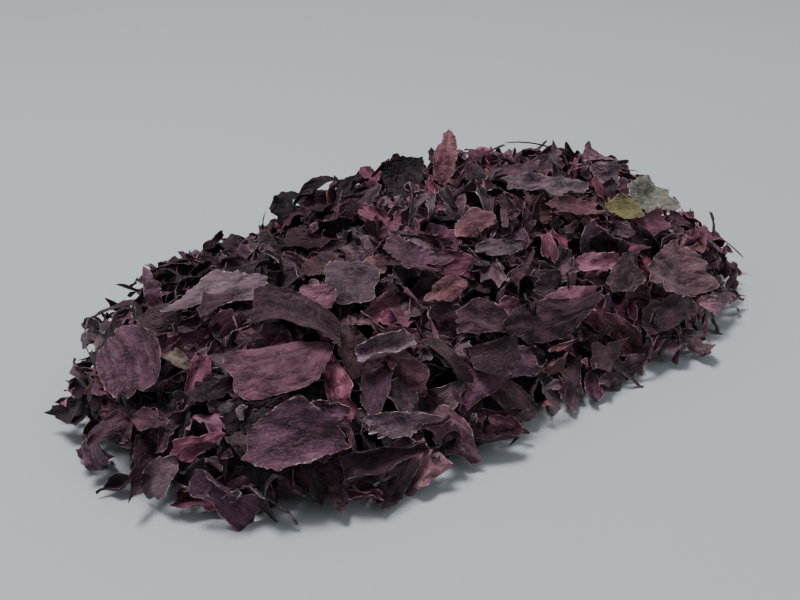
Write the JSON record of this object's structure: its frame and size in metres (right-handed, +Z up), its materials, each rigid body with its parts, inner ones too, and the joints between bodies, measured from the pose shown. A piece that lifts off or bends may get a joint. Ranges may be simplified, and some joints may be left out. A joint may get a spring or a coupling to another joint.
{
  "type": "heap of dried dulse",
  "caption": "Loose heap of dried dulse: torn, crinkled scraps of dark plum, mauve and red-brown seaweed, long and low, lying on a flat underside.",
  "frame": {"origin": "middle of the flat underside, where the heap rests on the table", "axes": "+X along the heap's long side, +Y across it, +Z up; the heap's top scraps face -Y and -X most"},
  "size_m": [0.1952, 0.1084, 0.054],
  "materials": {
    "plum": "satin",
    "mauve": "satin",
    "magenta": "satin",
    "red_brown": "satin",
    "brown": "satin",
    "grey_plum": "satin",
    "grey_green": "satin",
    "olive": "satin",
    "cream": "satin",
    "stalk": "satin"
  },
  "bodies": {
    "root": {"bed": "plum", "front_apron": "plum", "front_crumple": "grey_plum", "front_roll": "plum", "ruffle": "plum", "front_low": "plum", "right_low": "brown", "front_dark": "plum", "dark_wide": "plum", "round_blade": "plum", "magenta_tail": "magenta", "pink_curl": "mauve", "ragged_wing": "magenta", "left_tip": "plum", "left_upright": "plum", "left_stalk": "stalk", "brown_flap": "brown", "dark_fold": "plum", "under_sail": "plum", "mauve_lobe": "mauve", "plum_sail": "grey_plum", "long_band": "grey_plum", "mid_crumple": "plum", "grey_square": "grey_plum", "pink_patch": "mauve", "cream_scrap": "cream", "curled_pod": "grey_plum", "brown_strap": "brown", "maroon_band": "magenta", "dark_red_fold": "magenta", "pink_pair": "red_brown", "pink_point": "red_brown", "fan_fold": "plum", "ragged_black": "plum", "dark_curl": "plum", "purple_blade": "mauve", "red_point": "red_brown", "red_leaf": "red_brown", "magenta_knot": "magenta", "centre_grey": "grey_plum", "scallop": "mauve", "olive_brown": "brown", "brown_shield": "brown", "canoe_red": "red_brown", "pink_strip": "mauve", "shelf_light": "mauve", "olive_leaf": "olive", "grey_green": "grey_green", "maroon_leaf": "magenta", "magenta_right": "magenta", "plum_ridge": "plum", "plum_square": "plum", "red_upright": "red_brown", "black_sail": "plum", "dark_twig": "stalk", "pale_twig": "mauve", "top_twig": "stalk", "right_stalk": "stalk"}
  },
  "joints": []
}
